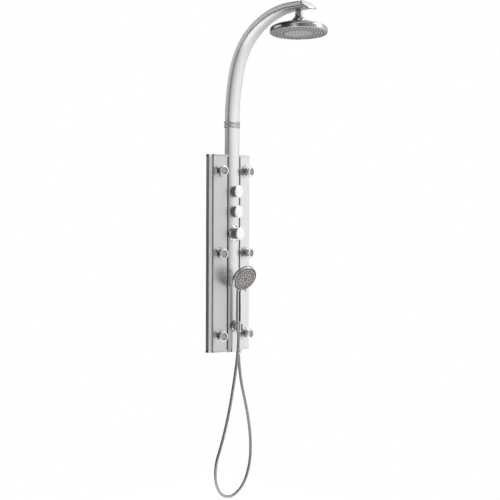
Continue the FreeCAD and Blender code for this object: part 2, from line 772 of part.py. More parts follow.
def head_nipple():
    """Fixed fitting: clamped in the arm, with a shoulder and the ball the head hangs on."""
    under = ARM_UNDERSIDE_Z
    outline = [
        (0, ARCH_TIP.z + 14),
        (NIPPLE_HEAD_R, ARCH_TIP.z + 14),
        (NIPPLE_HEAD_R, ARCH_TIP.z - 3.8),
        (NIPPLE_R, ARCH_TIP.z - 3.8),
        (NIPPLE_R, under - 0.5),
        (11.5, under - 0.5),
        (11.5, under - 2.0),
        (9.5, under - 2.8),
        (4.8, under - 3.4),
        (4.8, HEAD_BALL_Z),
        (0, HEAD_BALL_Z),
    ]
    return joined([head_piece(outline), Part.makeSphere(HEAD_BALL_R, HEAD_CENTRE)])


def head_seat():
    inner = HEAD_BALL_R + BALL_GAP
    return spherical_zone(inner, inner + HEAD_SEAT, -5.0, 4.5, HEAD_CENTRE, Z_AXIS)


def head_swivel_nut():
    low = HEAD_BALL_Z - HEAD_NUT_BELOW
    outline = [
        (0, low),
        (12.6, low),
        (13.0, low + 1.0),
        (13.0, HEAD_BALL_Z + 3.7),
        (12.0, HEAD_BALL_Z + 5.3),
        (0, HEAD_BALL_Z + 5.3),
    ]
    nut = head_piece(outline)
    return tilted(nut.cut(Part.makeSphere(HEAD_CAVITY_R, HEAD_CENTRE)))


def head_dome():
    """Chrome upper shell: bell, shallow dome and rolled rim, open underneath."""
    top = HEAD_RIM_TOP_Z
    low = HEAD_RIM_BOTTOM_Z
    neck = HEAD_BALL_Z - HEAD_NUT_BELOW
    outline = [
        (3.5, neck),
        (12.6, neck),
        (14.0, neck - 4.0),
        (17.5, neck - 8.5),
        (22.0, neck - 13.0),
        (25.5, neck - 17.0),
        (27.0, top + 21.0),
        (45.0, top + 17.5),
        (65.0, top + 12.5),
        (84.0, top + 6.5),
        (96.0, top + 1.5),
        (100.5, top - 2.5),
        (HEAD_R, top - 6.5),
        (HEAD_R, low + 4.5),
        (100.3, low + 1.2),
        (98.2, low),
        (96.4, low + 0.8),
        (96.0, low + 3.0),
        (96.0, top - 6.5),
        (84.0, top + 2.0),
        (60.0, top + 8.5),
        (20.0, top + 16.0),
        (3.5, top + 17.0),
    ]
    dome = head_piece(outline)
    return tilted(dome.cut(Part.makeSphere(HEAD_CAVITY_R, HEAD_CENTRE)))


def head_gasket():
    low = HEAD_RIM_BOTTOM_Z
    outline = [(92.5, low + 5.5), (96.0, low + 5.5), (96.0, low + 8.0), (92.5, low + 8.0)]
    return tilted(head_piece(outline))


def head_spray_plate():
    """Slightly convex face plate that the water leaves through."""
    low = HEAD_RIM_BOTTOM_Z
    outline = [
        (0, low - 1.0),
        (40.0, low - 0.4),
        (70.0, low + 0.8),
        (92.0, low + 2.6),
        (96.0, low + 3.4),
        (96.0, low + 5.5),
        (0, low + 5.5),
    ]
    return tilted(head_piece(outline))


# ---------------------------------------------------------------- handset and its holder
def holder_base():
    """Boss shaped to the column, with the stub that the cradle turns on."""
    front = CREST_Y - 4.0
    boss = cylinder(HOLDER_BASE_R, Vector(0, front, HOLDER_Z), Y_AXIS, GROOVE_Y - 1 - front)
    boss = boss.cut(outline_prism(smooth_outline(), HOLDER_Z - 30, HOLDER_Z + 30))
    bolt = cylinder(HOLDER_BOLT_R, Vector(0, front, HOLDER_Z), Y_AXIS, 14)
    stub = cylinder(HOLDER_BOLT_R, Vector(0, front - 3.5, HOLDER_Z), Y_AXIS, 5)
    return joined([boss, bolt, stub])


def cone_radius(z):
    """Radius of the hose nut's taper at a height."""
    share = (z - CONE_BOTTOM_Z) / (CONE_TOP_Z - CONE_BOTTOM_Z)
    return 8.0 + 3.2 * share


def holder_cradle():
    """Turning cap on the holder's stub, with a split tapered ring for the hose nut."""
    back = CREST_Y - 4.3
    cap_outline = [(0, 0), (19.0, 0), (19.0, 2.5), (17.0, 4.5), (0, 4.5)]
    cap = turned(cap_outline, Vector(0, back, HOLDER_Z), FORWARD)
    height = CRADLE_HIGH_Z - CRADLE_LOW_Z
    low = Vector(0, HANDLE_Y, CRADLE_LOW_Z)
    ring = cylinder(15.0, low, Z_AXIS, height)
    web = box((-9, 9), (HANDLE_Y + 8, back - 1), (CRADLE_LOW_Z + 2, CRADLE_HIGH_Z - 2))
    body = joined([cap, ring, web])
    gap = 0.35
    seat_low = cone_radius(CRADLE_LOW_Z) + gap
    seat_high = cone_radius(CRADLE_HIGH_Z) + gap
    body = body.cut(Part.makeCone(seat_low, seat_high, height, low, Z_AXIS))
    slot = box((-7, 7), (HANDLE_Y - 20, HANDLE_Y), (CRADLE_LOW_Z - 1, CRADLE_HIGH_Z + 1))
    stub = cylinder(HOLDER_BOLT_R + SPINDLE_GAP, Vector(0, back + 1, HOLDER_Z), FORWARD, 4.5)
    return body.cut(slot).cut(stub)


def hose_cone_nut():
    low = Vector(0, HANDLE_Y, CONE_BOTTOM_Z)
    height = CONE_TOP_Z - CONE_BOTTOM_Z
    return Part.makeCone(cone_radius(CONE_BOTTOM_Z), cone_radius(CONE_TOP_Z), height, low, Z_AXIS)


def face_normal():
    down = math.radians(HANDSET_FACE_DOWN)
    return Vector(0, -math.cos(down), -math.sin(down))


def swung(shape):
    """The shape turned about the handle, the way the handset hangs in its holder."""
    return shape.rotated(Vector(0, HANDLE_Y, 0), Z_AXIS, -HANDSET_TURN)


def handset_body():
    """Handle, bent neck and dished head, hollow behind the spray face."""
    normal = face_normal()
    elbow = Vector(0, HANDLE_Y, NECK_FOOT_Z)
    neck = NECK_HEAD - elbow
    handle = [
        (0, 0.3),
        (10.6, 0.3),
        (11.2, 2.0),
        (HANDLE_R, 12.0),
        (HANDLE_R, 60.0),
        (NECK_R, elbow.z - CONE_TOP_Z),
        (0, elbow.z - CONE_TOP_Z),
    ]
    dish = [
        (0, -30.0),
        (14.0, -29.5),
        (28.0, -26.5),
        (40.0, -21.0),
        (47.5, -16.5),
        (HANDSET_R, -13.5),
        (HANDSET_R, -9.0),
        (48.5, -4.0),
        (46.8, -1.5),
        (45.6, 0.0),
        (42.0, 0.0),
        (42.0, -7.0),
        (0, -7.0),
    ]
    pieces = [
        turned(handle, Vector(0, HANDLE_Y, CONE_TOP_Z), Z_AXIS),
        Part.makeSphere(NECK_R, elbow),
        Part.makeCone(NECK_R, NECK_R + 1.4, neck.Length, elbow, neck),
        turned(dish, HANDSET_CENTRE, normal),
    ]
    body = joined(pieces)
    recess = [(0, -12), (40, -12), (40, -7), (42, -7), (42, 0), (62, 0), (62, 14), (0, 14)]
    cavity = turned(recess, HANDSET_CENTRE, normal)
    return swung(body.cut(cavity))


def handset_face():
    """Turning spray face with the small selector tab at its lower rim."""
    outline = [
        (0, -6.5),
        (41.5, -6.5),
        (41.5, 0.2),
        (39.0, 1.2),
        (27.0, 1.6),
        (26.0, 0.8),
        (12.0, 1.0),
        (0, 1.2),
    ]
    normal = face_normal()
    disc = turned(outline, HANDSET_CENTRE, normal)
    tab = box((-3.5, 3.5), (-53.0, -38.0), (0.4, 3.4))
    tab.Placement = FreeCAD.Placement(
        HANDSET_CENTRE, FreeCAD.Rotation(X_AXIS, 90 + HANDSET_FACE_DOWN)
    )
    tab = tab.rotated(HANDSET_CENTRE, normal, TAB_TURN)
    return swung(joined([disc, tab]))


# ---------------------------------------------------------------- hose and its outlet
HOSE_ROUTE = [
    (49, -19, -381),
    (50, -22, -460),
    (88, -31, -608),
    (99, -37, -715),
    (90, -41, -800),
    (54, -44, -872),
    (-10, -47, -908),
    (-72, -49, -893),
    (-105, -51, -840),
    (-106, -53, -770),
    (-78, -55, -706),
    (-43, -58, -596),
    (-17, -61, -470),
    (0, -65, -356),
    (0, -66, -292),
]


def hose_outlet():
    """Threaded tail that brings the water out through the bottom cap."""
    start = Vector(OUTLET_X, OUTLET_Y, -372.0)
    return cylinder(OUTLET_R, start, Z_AXIS, 42.0).cut(cylinder(5.0, start, Z_AXIS, 34.0))


def outlet_nut():
    outline = [
        (0, OUTLET_NUT_BOTTOM_Z),
        (7.0, OUTLET_NUT_BOTTOM_Z),
        (10.5, OUTLET_NUT_BOTTOM_Z + 6),
        (10.5, -364.5),
        (OUTLET_R, -364.5),
        (OUTLET_R, -372.0),
        (0, -372.0),
    ]
    return turned(outline, Vector(OUTLET_X, OUTLET_Y, 0), Z_AXIS)


def bend_radius(before, corner, after):
    """Largest tangent arc at a corner that uses 0.45 of the shorter run beside it."""
    turn = (corner - before).getAngle(after - corner)
    shorter = min((corner - before).Length, (after - corner).Length)
    return 0.45 * shorter / math.tan(turn / 2), turn


def routed_tube(points, radius):
    """Round tube of straight runs joined by tangent arcs; also gives its centre line."""
    edges = []
    last = points[0]
    for before, corner, after in zip(points, points[1:], points[2:]):
        bend, turn = bend_radius(before, corner, after)
        reach = bend * math.tan(turn / 2)
        inward = (before - corner).normalize()
        outward = (after - corner).normalize()
        middle = (inward + outward).normalize()
        arc_start = corner + inward * reach
        arc_end = corner + outward * reach
        arc_middle = corner + middle * (bend / math.cos(turn / 2) - bend)
        edges.append(Part.makeLine(last, arc_start))
        edges.append(Part.Arc(arc_start, arc_middle, arc_end).toShape())
        last = arc_end
    edges.append(Part.makeLine(last, points[-1]))
    path = Part.Wire(edges)
    circle = Part.makeCircle(radius, points[0], points[1] - points[0])
    return path.makePipeShell([Part.Wire(circle)], True, False), path


def shower_hose():
    points = [Vector(*p) for p in HOSE_ROUTE]
    tube, path = routed_tube(points, HOSE_R)
    for before, corner, after in zip(points, points[1:], points[2:]):
        bend, turn = bend_radius(before, corner, after)
        print("hose bend", round(bend), "mm over", round(math.degrees(turn)), "degrees")
    expected = math.pi * HOSE_R**2 * path.Length
    print("hose length", round(path.Length), "mm, volume ratio", round(tube.Volume / expected, 3))
    return tube


# ---------------------------------------------------------------- build
def build_panel():
    wing = right_wing()
    export("right_wing", wing)
    export("left_wing", mirrored(wing))
    export("rear_chassis", rear_chassis())
    export("top_end_cap", top_end_cap())
    export("bottom_end_cap", bottom_end_cap())
    export("cap_screws", *cap_screws())
    export("wall_brackets", *wall_brackets())


def build_column():
    export("column_extrusion", column())
    collar_floors = (COLUMN_TOP, COLUMN_TOP + COLLAR_HEIGHT + COLLAR_GAP)
    export("collar_rings", *[collar(z) for z in collar_floors])
    export("joint_sleeve", joint_sleeve())
    export("arch_arm", arch_arm())
    export("arm_end_cap", arm_end_cap())


def build_waterways():
    export("mixer_valve_body", mixer_valve_body())
    export("outlet_valve_bodies", valve_body(JET_KNOB_Z), valve_body(RAIN_KNOB_Z))
    export("riser_pipe", riser_pipe())
    export("water_pipes", *link_pipes(), *jet_water_pipe(), *handset_feed_pipe())


def build_knobs():
    seats = [knob_seat(z) for z in (RAIN_KNOB_Z, JET_KNOB_Z)]
    export("knob_seats", *seats)
    export("mixer_escutcheon", mixer_escutcheon())
    front = CREST_Y - 0.6
    places = {
        "rain_knob": Vector(0, front, RAIN_KNOB_Z),
        "jet_knob": Vector(0, front, JET_KNOB_Z),
        "mixer_knob": Vector(0, front - 4.3, MIXER_KNOB_Z),
    }
    for name, base in places.items():
        face_y = MIXER_FACE_Y if name == "mixer_knob" else KNOB_FACE_Y
        length = base.y - face_y - KNOB_CAP_HEIGHT
        export(name, knob(base, length))
        export(name + "_cap", knob_cap(base, length))
        export(name + "_spindle", spindle(base, length))


def build_jets():
    export("jet_locknuts", *jet_locknuts())
    for row, z in JET_ROWS.items():
        for hand, side in (("left", -1), ("right", 1)):
            name = row + "_" + hand + "_jet"
            export(name + "_socket", jet_socket(side, z))
            export(name + "_seat", jet_seat(side, z))
            export(name + "_nozzle", jet_nozzle(side, z))


def build_rain_head():
    export("head_nipple", head_nipple())
    export("head_seat", head_seat())
    export("head_swivel_nut", head_swivel_nut())
    export("head_dome", head_dome())
    export("head_gasket", head_gasket())
    export("head_spray_plate", head_spray_plate())


def build_handset():
    export("holder_base", holder_base())
    export("holder_cradle", holder_cradle())
    export("hose_cone_nut", hose_cone_nut())
    export("handset_body", handset_body())
    export("handset_face", handset_face())
    export("hose_outlet", hose_outlet())
    export("outlet_nut", outlet_nut())
    export("shower_hose", shower_hose())


build_panel()
build_column()
build_waterways()
build_knobs()
build_jets()
build_rain_head()
build_handset()
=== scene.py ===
"""Wall shower column: a satin aluminium panel and an arched arm with a rain head,
three knobs, six body jets and a hand shower on a looped steel hose."""

import json
import math

import bmesh
import bpy
from mathutils import Matrix, Vector

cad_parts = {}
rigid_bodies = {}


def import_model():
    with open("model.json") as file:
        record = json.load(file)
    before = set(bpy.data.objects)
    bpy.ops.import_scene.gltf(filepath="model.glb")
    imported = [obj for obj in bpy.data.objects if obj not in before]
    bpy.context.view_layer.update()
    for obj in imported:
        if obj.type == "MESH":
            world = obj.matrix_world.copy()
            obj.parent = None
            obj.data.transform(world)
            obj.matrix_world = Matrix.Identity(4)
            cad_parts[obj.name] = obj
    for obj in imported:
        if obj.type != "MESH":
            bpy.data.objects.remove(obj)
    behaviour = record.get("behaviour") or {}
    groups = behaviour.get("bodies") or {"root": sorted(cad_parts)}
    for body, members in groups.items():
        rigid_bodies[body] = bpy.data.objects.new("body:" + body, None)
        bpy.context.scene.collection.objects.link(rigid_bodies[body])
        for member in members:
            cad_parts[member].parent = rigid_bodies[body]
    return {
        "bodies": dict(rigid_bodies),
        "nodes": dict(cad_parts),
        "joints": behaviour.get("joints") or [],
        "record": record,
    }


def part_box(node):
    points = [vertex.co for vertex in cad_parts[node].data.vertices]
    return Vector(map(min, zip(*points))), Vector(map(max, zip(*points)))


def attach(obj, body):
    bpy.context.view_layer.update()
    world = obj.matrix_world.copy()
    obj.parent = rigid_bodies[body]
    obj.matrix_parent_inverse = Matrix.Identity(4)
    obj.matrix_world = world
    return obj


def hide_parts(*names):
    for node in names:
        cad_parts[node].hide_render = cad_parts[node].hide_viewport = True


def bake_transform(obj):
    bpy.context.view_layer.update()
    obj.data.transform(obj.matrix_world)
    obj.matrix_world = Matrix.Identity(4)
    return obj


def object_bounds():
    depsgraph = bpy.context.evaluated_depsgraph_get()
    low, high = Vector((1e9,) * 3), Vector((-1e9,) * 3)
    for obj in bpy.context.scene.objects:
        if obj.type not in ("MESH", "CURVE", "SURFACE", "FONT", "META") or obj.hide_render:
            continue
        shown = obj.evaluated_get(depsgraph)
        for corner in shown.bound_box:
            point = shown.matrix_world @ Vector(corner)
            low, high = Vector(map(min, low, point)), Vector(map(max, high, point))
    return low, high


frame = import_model()
cad_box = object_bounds()
nodes = frame["nodes"]
joints = {joint["name"]: joint for joint in frame["joints"]}

MM = 0.001
ON_AXIS_R = 0.01               # millimetres, the smallest ring a turned piece closes on
X_AXIS = Vector((1, 0, 0))
Y_AXIS = Vector((0, 1, 0))
Z_AXIS = Vector((0, 0, 1))
FORWARD = Vector((0, -1, 0))

# Camera: far off to the left and tipped down a little, which keeps the whole height of
# the column in the picture.
CAMERA_PLACE = (-3.126, -3.088, 0.1824)
CAMERA_HEADING = -46.5         # degrees from +Y
CAMERA_ROLL = 0.26
CAMERA_LENS = 84.96
CAMERA_TIP = -2.23             # degrees down from level

# Hose: the same points, in millimetres, as the route of the modelled tube.
HOSE_DIAMETER = 0.011
HOSE_ROUTE_MM = [
    (49, -19, -381),
    (50, -22, -460),
    (88, -31, -608),
    (99, -37, -715),
    (90, -41, -800),
    (54, -44, -872),
    (-10, -47, -908),
    (-72, -49, -893),
    (-105, -51, -840),
    (-106, -53, -770),
    (-78, -55, -706),
    (-43, -58, -596),
    (-17, -61, -470),
    (0, -65, -356),
    (0, -66, -292),
]
FLOOR_SIZE = 3.0
FLOOR_DROP = 0.4               # the hose hangs this far above the floor

HOSE_PITCH = 3.2 * MM          # one turn of the wound steel strip
HOSE_RIDGE = 0.42 * MM
HOSE_SIDES = 18
HOSE_TOP_FOOT = -0.352         # the top length is above this height
HOSE_TOP_FRONT = -0.055        # and in front of this depth
HOSE_TOP_EXTRA = 0.3 * MM
RINGS_PER_TURN = 6


# ---------------------------------------------------------------- camera and studio
# Brightness of the surround by direction, in degrees: 0 is straight out from the wall,
# positive is towards the right.
STUDIO_STOPS = [
    (-180, 0.10),
    (-150, 0.06),
    (-108, 0.04),
    (-82, 0.12),
    (-72, 0.90),
    (-60, 0.90),
    (-50, 0.12),
    (-30, 0.26),
    (-8, 0.42),
    (15, 0.58),
    (30, 0.72),
    (46, 1.15),
    (62, 0.95),
    (85, 0.80),
    (110, 0.58),
    (133, 0.40),
    (155, 0.20),
    (180, 0.10),
]
# Share of that brightness by height, from straight down (0) through level (0.5) to up (1).
HEIGHT_STOPS = [(0.0, 0.55), (0.17, 0.9), (0.35, 1.0), (0.62, 1.0), (0.78, 0.45), (1.0, 0.3)]

# Name, place, aim, (width, height) in metres and watts of each light.
LIGHTS = [
    ("key", (2.2, -2.6, 2.6), (0, 0, 0.2), (2.0, 2.0), 45.0),
    ("top", (-0.5, -1.5, 4.0), (0, 0, 0.0), (3.0, 3.0), 25.0),
    ("arch side", (-1.09, 1.03, 0.95), (0, -0.1, 0.75), (1.2, 1.0), 2.6),
    ("arm end", (0.83, -0.23, 1.74), (0, -0.39, 0.89), (0.9, 0.9), 1.5),
]


def make_camera():
    data = bpy.data.cameras.new("camera")
    data.sensor_width = 36.0
    data.lens = CAMERA_LENS
    camera = bpy.data.objects.new("camera", data)
    bpy.context.collection.objects.link(camera)
    turn = Matrix.Rotation(math.radians(CAMERA_HEADING), 4, "Z")
    level = Matrix.Rotation(math.radians(90 + CAMERA_TIP), 4, "X")
    roll = Matrix.Rotation(math.radians(CAMERA_ROLL), 4, "Z")
    camera.matrix_world = Matrix.Translation(CAMERA_PLACE) @ turn @ level @ roll
    bpy.context.scene.camera = camera


def fill_ramp(ramp, stops):
    """Sets a ramp's grey levels from (position, level) pairs."""
    ramp.elements[0].position = 0.0
    ramp.elements[1].position = 1.0
    for position, _ in stops[1:-1]:
        ramp.elements.new(position)
    for element, (_, level) in zip(ramp.elements, stops):
        element.color = (level, level, level, 1.0)


def make_world():
    """Studio surround: brightest on the right, dark behind the object and on the left but
    for one narrow strip. The camera itself sees plain white."""
    world = bpy.data.worlds.new("studio")
    world.use_nodes = True
    bpy.context.scene.world = world
    tree = world.node_tree
    tree.nodes.clear()
    place = tree.nodes.new("ShaderNodeTexCoord")
    split = tree.nodes.new("ShaderNodeSeparateXYZ")
    flip = tree.nodes.new("ShaderNodeMath")
    flip.operation = "MULTIPLY"
    flip.inputs[1].default_value = -1.0
    angle = tree.nodes.new("ShaderNodeMath")
    angle.operation = "ARCTAN2"
    spread = tree.nodes.new("ShaderNodeMapRange")
    spread.inputs["From Min"].default_value = -math.pi
    spread.inputs["From Max"].default_value = math.pi
    ramp = tree.nodes.new("ShaderNodeValToRGB")
    fill_ramp(ramp.color_ramp, [((turn + 180) / 360, level) for turn, level in STUDIO_STOPS])
    surround = tree.nodes.new("ShaderNodeBackground")
    plain = tree.nodes.new("ShaderNodeBackground")
    plain.inputs["Color"].default_value = (1, 1, 1, 1)
    plain.inputs["Strength"].default_value = 1.0
    path = tree.nodes.new("ShaderNodeLightPath")
    mix = tree.nodes.new("ShaderNodeMixShader")
    out = tree.nodes.new("ShaderNodeOutputWorld")
    lift = tree.nodes.new("ShaderNodeMapRange")
    lift.inputs["From Min"].default_value = -1.0
    share = tree.nodes.new("ShaderNodeValToRGB")
    fill_ramp(share.color_ramp, HEIGHT_STOPS)
    both = tree.nodes.new("ShaderNodeMix")
    both.data_type = "RGBA"
    both.blend_type = "MULTIPLY"
    both.inputs["Factor"].default_value = 1.0
    link = tree.links.new
    link(place.outputs["Generated"], split.inputs[0])
    link(split.outputs["X"], angle.inputs[0])
    link(split.outputs["Y"], flip.inputs[0])
    link(flip.outputs[0], angle.inputs[1])
    link(angle.outputs[0], spread.inputs["Value"])
    link(spread.outputs[0], ramp.inputs["Fac"])
    link(split.outputs["Z"], lift.inputs["Value"])
    link(lift.outputs[0], share.inputs["Fac"])
    link(ramp.outputs["Color"], both.inputs["A"])
    link(share.outputs["Color"], both.inputs["B"])
    link(both.outputs["Result"], surround.inputs["Color"])
    link(path.outputs["Is Camera Ray"], mix.inputs["Fac"])
    link(surround.outputs[0], mix.inputs[1])
    link(plain.outputs[0], mix.inputs[2])
    link(mix.outputs[0], out.inputs["Surface"])


def area_light(name, place, aim, size, watts):
    """Soft light with a (width, height) that the camera itself doesn't see."""
    data = bpy.data.lights.new(name, "AREA")
    data.shape = "RECTANGLE"
    data.size = size[0]
    data.size_y = size[1]
    data.energy = watts
    light = bpy.data.objects.new(name, data)
    bpy.context.collection.objects.link(light)
    light.location = place
    direction = Vector(aim) - Vector(place)
    light.rotation_euler = direction.to_track_quat("-Z", "Y").to_euler()
    light.visible_camera = False


def make_floor():
    low = cad_box[0]
    bpy.ops.mesh.primitive_plane_add(size=FLOOR_SIZE, location=(0, 0, low.z - FLOOR_DROP))
    floor = bpy.context.object
    floor.name = "floor"
    floor.data.materials.append(FLOOR)


# ---------------------------------------------------------------- materials
def new_material(name, color, metallic, roughness):
    material = bpy.data.materials.new(name)
    material.use_nodes = True
    shader = material.node_tree.nodes["Principled BSDF"]
    shader.inputs["Base Color"].default_value = (*color, 1.0)
    shader.inputs["Metallic"].default_value = metallic
    shader.inputs["Roughness"].default_value = roughness
    return material


def noise_at(tree, scale, detail=3.0):
    """Noise in the object's own coordinates, stretched by a scale along each axis."""
    place = tree.nodes.new("ShaderNodeTexCoord")
    mapping = tree.nodes.new("ShaderNodeMapping")
    mapping.inputs["Scale"].default_value = scale
    noise = tree.nodes.new("ShaderNodeTexNoise")
    noise.inputs["Scale"].default_value = 1.0
    noise.inputs["Detail"].default_value = detail
    tree.links.new(place.outputs["Object"], mapping.inputs["Vector"])
    tree.links.new(mapping.outputs[0], noise.inputs["Vector"])
    return noise.outputs["Fac"]


def vary(material, socket, scale, low, high):
    """Lets a number on the shader drift between two values over the surface."""
    tree = material.node_tree
    spread = tree.nodes.new("ShaderNodeMapRange")
    spread.inputs["From Min"].default_value = 0.3
    spread.inputs["From Max"].default_value = 0.7
    spread.inputs["To Min"].default_value = low
    spread.inputs["To Max"].default_value = high
    tree.links.new(noise_at(tree, scale), spread.inputs["Value"])
    tree.links.new(spread.outputs[0], tree.nodes["Principled BSDF"].inputs[socket])


def tint(material, scale, dark, light):
    """Lets the colour drift between two shades over the surface."""
    tree = material.node_tree
    mix = tree.nodes.new("ShaderNodeMix")
    mix.data_type = "RGBA"
    mix.inputs["A"].default_value = (*dark, 1.0)
    mix.inputs["B"].default_value = (*light, 1.0)
    tree.links.new(noise_at(tree, scale), mix.inputs["Factor"])
    tree.links.new(mix.outputs["Result"], tree.nodes["Principled BSDF"].inputs["Base Color"])


def roughen(material, scale, depth):
    """Fine relief, in metres, from stretched noise."""
    tree = material.node_tree
    bump = tree.nodes.new("ShaderNodeBump")
    bump.inputs["Strength"].default_value = 1.0
    bump.inputs["Distance"].default_value = depth
    tree.links.new(noise_at(tree, scale), bump.inputs["Height"])
    tree.links.new(bump.outputs[0], tree.nodes["Principled BSDF"].inputs["Normal"])


def panel_material():
    """Aluminium sheet brushed along its length, then anodised."""
    material = new_material("panel_aluminium", (0.76, 0.77, 0.78), 1.0, 0.34)
    tint(material, (6.0, 6.0, 2.0), (0.79, 0.80, 0.81), (0.87, 0.88, 0.89))
    vary(material, "Roughness", (700.0, 700.0, 12.0), 0.28, 0.42)
    roughen(material, (1400.0, 1400.0, 9.0), 0.00004)
    return material


def column_material():
    """Extruded aluminium with a fine blasted and anodised skin."""
    material = new_material("column_aluminium", (0.82, 0.82, 0.84), 1.0, 0.36)
    tint(material, (5.0, 5.0, 5.0), (0.79, 0.79, 0.81), (0.85, 0.85, 0.86))
    vary(material, "Roughness", (300.0, 300.0, 300.0), 0.32, 0.40)
    roughen(material, (2500.0, 2500.0, 2500.0), 0.000004)
    return material


def chrome_material():
    material = new_material("chrome", (0.76, 0.77, 0.79), 1.0, 0.06)
    vary(material, "Roughness", (60.0, 60.0, 60.0), 0.04, 0.10)
    return material


def shaded_dark_metal_material():
    """Dark mottled plating on the fluted grips and other small parts; its darkness also paints the
    shade and dark reflections they show.
    """
    material = new_material("dark_chrome", (0.32, 0.32, 0.33), 1.0, 0.3)
    tint(material, (260.0, 260.0, 260.0), (0.18, 0.18, 0.19), (0.50, 0.50, 0.51))
    vary(material, "Roughness", (500.0, 500.0, 500.0), 0.22, 0.4)
    roughen(material, (900.0, 900.0, 900.0), 0.00003)
    return material


def satin_material(name, color, roughness):
    """Plated metal with a soft sheen."""
    material = new_material(name, color, 1.0, roughness)
    vary(material, "Roughness", (80.0, 80.0, 80.0), roughness - 0.04, roughness + 0.05)
    return material


def brushed_material(name, color, scale):
    material = new_material(name, color, 1.0, 0.3)
    vary(material, "Roughness", scale, 0.22, 0.4)
    roughen(material, scale, 0.00003)
    return material


def moulded_material(name, color, roughness):
    """Moulded plastic or rubber with a faint matt texture."""
    material = new_material(name, color, 0.0, roughness)
    vary(material, "Roughness", (400.0, 400.0, 400.0), roughness - 0.08, roughness + 0.08)
    roughen(material, (3000.0, 3000.0, 3000.0), 0.00002)
    return material


def floor_material():
    material = new_material("floor", (0.92, 0.92, 0.92), 0.0, 0.7)
    shader = material.node_tree.nodes["Principled BSDF"]
    shader.inputs["Emission Color"].default_value = (1, 1, 1, 1)
    shader.inputs["Emission Strength"].default_value = 0.8
    return material


PANEL = panel_material()
COLUMN = column_material()
CHROME = chrome_material()
STEEL = brushed_material("steel", (0.62, 0.62, 0.63), (40.0, 900.0, 900.0))
BRASS = brushed_material("brass", (0.72, 0.56, 0.30), (300.0, 300.0, 300.0))
HOSE_STEEL = brushed_material("hose_steel", (0.40, 0.40, 0.405), (200.0, 200.0, 200.0))
BLACK = moulded_material("black_plastic", (0.025, 0.025, 0.027), 0.4)
SPRAY_GREY = moulded_material("spray_grey", (0.50, 0.48, 0.465), 0.45)
DISC_GREY = moulded_material("disc_grey", (0.62, 0.61, 0.605), 0.4)
DARK_CHROME_AND_SHADE = shaded_dark_metal_material()
# Near black, used only to paint dark reflections on the handle.
DARK_REFLECTION_PAINT = satin_material("black_nickel", (0.03, 0.03, 0.032), 0.2)
SATIN_CHROME = satin_material("satin_chrome", (0.50, 0.50, 0.51), 0.2)
POLISHED_FACE = satin_material("polished_face", (0.95, 0.95, 0.96), 0.3)
BRIGHT_CHROME = satin_material("bright_chrome", (0.92, 0.92, 0.93), 0.16)
DOME_CHROME = satin_material("dome_chrome", (0.56, 0.56, 0.57), 0.2)
# Black matt: the handset's groove ring, and painted shade in the strips beside the column and in
# the rings behind each jet's flange.
SEAL_AND_SHADE = moulded_material("seal", (0.03, 0.03, 0.032), 0.6)
JET_GREY = moulded_material("jet_grey", (0.26, 0.26, 0.265), 0.4)
NOZZLE_GREY = moulded_material("nozzle_grey", (0.09, 0.085, 0.083), 0.5)
PIPE = moulded_material("pipe", (0.75, 0.75, 0.74), 0.5)
FLOOR = floor_material()

MATERIAL_OF_SLOT = {
    "panel_aluminium": PANEL,
    "column_aluminium": COLUMN,
    "chrome": CHROME,
    "jet_chrome": CHROME,
    "steel": STEEL,
    "brass": BRASS,
    "pipe": PIPE,
    "black_plastic": BLACK,
    "spray_grey": SPRAY_GREY,
    "hose_steel": HOSE_STEEL,
}

MATERIAL_OF_NODE = {
    # The dark plating on the knob seats and holder base is partly painted shade round the knobs and
    # the holder.
    "knob_seats": DARK_CHROME_AND_SHADE,
    "holder_base": DARK_CHROME_AND_SHADE,
    "head_dome": DOME_CHROME,
    "head_nipple": SATIN_CHROME,
    "head_swivel_nut": SATIN_CHROME,
    "collar_rings": SATIN_CHROME,
}


# ---------------------------------------------------------------- mesh helpers
def smooth(obj, degrees=35.0):
    mesh = obj.data
    mesh.polygons.foreach_set("use_smooth", [True] * len(mesh.polygons))
    mesh.set_sharp_from_angle(angle=math.radians(degrees))
    return obj


def new_piece(name, vertices, faces, material, body):
    """A mesh piece with outward normals that rides on a body."""
    mesh = bpy.data.meshes.new(name)
    mesh.from_pydata(vertices, [], faces)
    work = bmesh.new()
    work.from_mesh(mesh)
    bmesh.ops.remove_doubles(work, verts=work.verts, dist=1e-7)
    bmesh.ops.recalc_face_normals(work, faces=work.faces)
    work.to_mesh(mesh)
    work.free()
    mesh.materials.append(material)
    obj = bpy.data.objects.new(name, mesh)
    bpy.context.collection.objects.link(obj)
    smooth(obj)
    if body:
        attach(obj, body)
    return obj


def paint_cad_nodes():
    for entry in frame["record"]["subparts"]:
        obj = nodes[entry["node"]]
        finish = MATERIAL_OF_NODE.get(entry["node"], MATERIAL_OF_SLOT[entry["material_slot"]])
        obj.data.materials.clear()
        obj.data.materials.append(finish)


def paint_where(obj, material, wanted):
    """Gives a second material to the faces that a test picks out."""
    obj.data.materials.append(material)
    for polygon in obj.data.polygons:
        if wanted(polygon):
            polygon.material_index = 1


def within(where, radius):
    """Test for faces closer to the Z axis of a frame than a radius."""
    inverse = where.inverted()

    def wanted(polygon):
        offset = inverse @ polygon.center
        return math.hypot(offset.x, offset.y) < radius

    return wanted


def surface_of_rings(rings, looped=False):
    """Vertices and faces of a closed skin over rings of equally many points. It has flat
    ends, or, when looped, runs from the last ring back to the first."""
    count = len(rings[0])
    vertices = [point for ring in rings for point in ring]
    faces = []
    bands = len(rings)
    if not looped:
        faces = [tuple(range(count)), tuple(range(len(vertices) - count, len(vertices)))]
        bands -= 1
    for index in range(bands):
        low = index * count
        high = (index + 1) % len(rings) * count
        for corner in range(count):
            after = (corner + 1) % count
            faces.append((low + corner, low + after, high + after, high + corner))
    return vertices, faces


